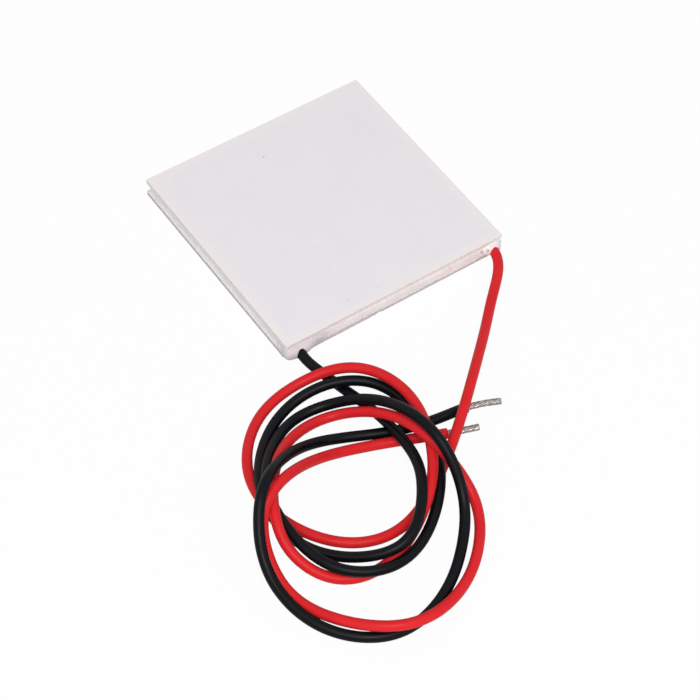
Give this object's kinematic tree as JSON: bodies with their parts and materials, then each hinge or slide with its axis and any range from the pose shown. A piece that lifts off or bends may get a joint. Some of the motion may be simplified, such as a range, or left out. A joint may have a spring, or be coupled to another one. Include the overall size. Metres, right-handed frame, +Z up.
{
  "type": "thermoelectric cooling module",
  "caption": "White ceramic thermoelectric cooling module with a silicone edge seal, and black and red leads lying in loose loops with stripped, tinned ends",
  "frame": {"origin": "centre of the underside of the hot plate", "axes": "+X along the lead edge from the black lead to the red lead, +Y from the lead edge to the far edge, +Z up from the hot plate to the cold plate"},
  "size_m": [0.0645, 0.0897, 0.0096],
  "materials": {
    "alumina": "matt sintered alumina",
    "sealant": "matt cured silicone, uneven",
    "copper": "bare copper strip",
    "solder": "dull solder",
    "p_bismuth_telluride": "sawn p-type semiconductor",
    "n_bismuth_telluride": "sawn n-type semiconductor",
    "tinned_strands": "twisted and tinned copper strands",
    "black_insulation": "smooth flexible insulation",
    "red_insulation": "smooth flexible insulation"
  },
  "bodies": {
    "root": {"hot_plate": "alumina", "cold_plate": "alumina", "edge_seal": "sealant", "hot_tabs": "copper", "cold_tabs": "copper", "hot_solder": "solder", "cold_solder": "solder", "black_lead_tab": "copper", "red_lead_tab": "copper", "black_joint": "solder", "red_joint": "solder", "black_core": "tinned_strands", "red_core": "tinned_strands", "black_lead": "black_insulation", "red_lead": "red_insulation", "black_tip": "tinned_strands", "red_tip": "tinned_strands", "p_legs_col_01": "p_bismuth_telluride", "p_legs_col_02": "p_bismuth_telluride", "p_legs_col_03": "p_bismuth_telluride", "p_legs_col_04": "p_bismuth_telluride", "p_legs_col_05": "p_bismuth_telluride", "p_legs_col_06": "p_bismuth_telluride", "p_legs_col_07": "p_bismuth_telluride", "p_legs_col_08": "p_bismuth_telluride", "p_legs_col_09": "p_bismuth_telluride", "p_legs_col_10": "p_bismuth_telluride", "p_legs_col_11": "p_bismuth_telluride", "p_legs_col_12": "p_bismuth_telluride", "p_legs_col_13": "p_bismuth_telluride", "p_legs_col_14": "p_bismuth_telluride", "p_legs_col_15": "p_bismuth_telluride", "p_legs_col_16": "p_bismuth_telluride", "n_legs_col_01": "n_bismuth_telluride", "n_legs_col_02": "n_bismuth_telluride", "n_legs_col_03": "n_bismuth_telluride", "n_legs_col_04": "n_bismuth_telluride", "n_legs_col_05": "n_bismuth_telluride", "n_legs_col_06": "n_bismuth_telluride", "n_legs_col_07": "n_bismuth_telluride", "n_legs_col_08": "n_bismuth_telluride", "n_legs_col_09": "n_bismuth_telluride", "n_legs_col_10": "n_bismuth_telluride", "n_legs_col_11": "n_bismuth_telluride", "n_legs_col_12": "n_bismuth_telluride", "n_legs_col_13": "n_bismuth_telluride", "n_legs_col_14": "n_bismuth_telluride", "n_legs_col_15": "n_bismuth_telluride", "n_legs_col_16": "n_bismuth_telluride"}
  },
  "joints": []
}
